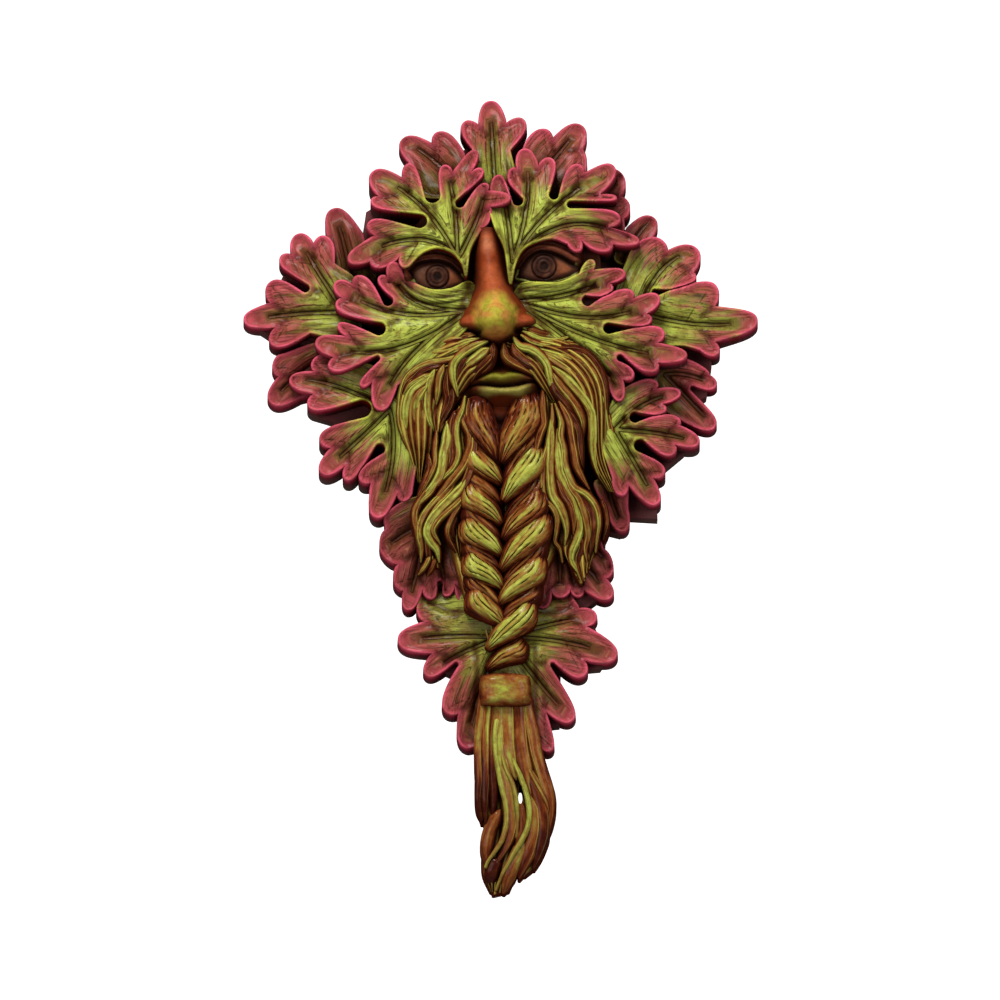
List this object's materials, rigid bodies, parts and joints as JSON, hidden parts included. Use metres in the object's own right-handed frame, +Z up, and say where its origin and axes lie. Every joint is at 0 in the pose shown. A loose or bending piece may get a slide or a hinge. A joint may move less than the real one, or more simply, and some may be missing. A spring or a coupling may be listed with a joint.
{
  "type": "green man wall mask",
  "caption": "Cast wall mask of a leaf-covered bearded face, with a moustache, a long plaited beard, a tie and a tassel, flat at the back for hanging.",
  "frame": {"origin": "on the flat back, behind the plait where it leaves the chin, level with the middle of the mask's height", "axes": "+Z up, the face looks along -Y, the flat back lies in the plane y = 0 and faces the wall along +Y"},
  "size_m": [0.2063, 0.058, 0.3208],
  "materials": {
    "painted_resin": "hand-painted cast resin, green leaves with red rims and a dark wash"
  },
  "bodies": {
    "root": {"mask": "painted_resin"}
  },
  "joints": []
}
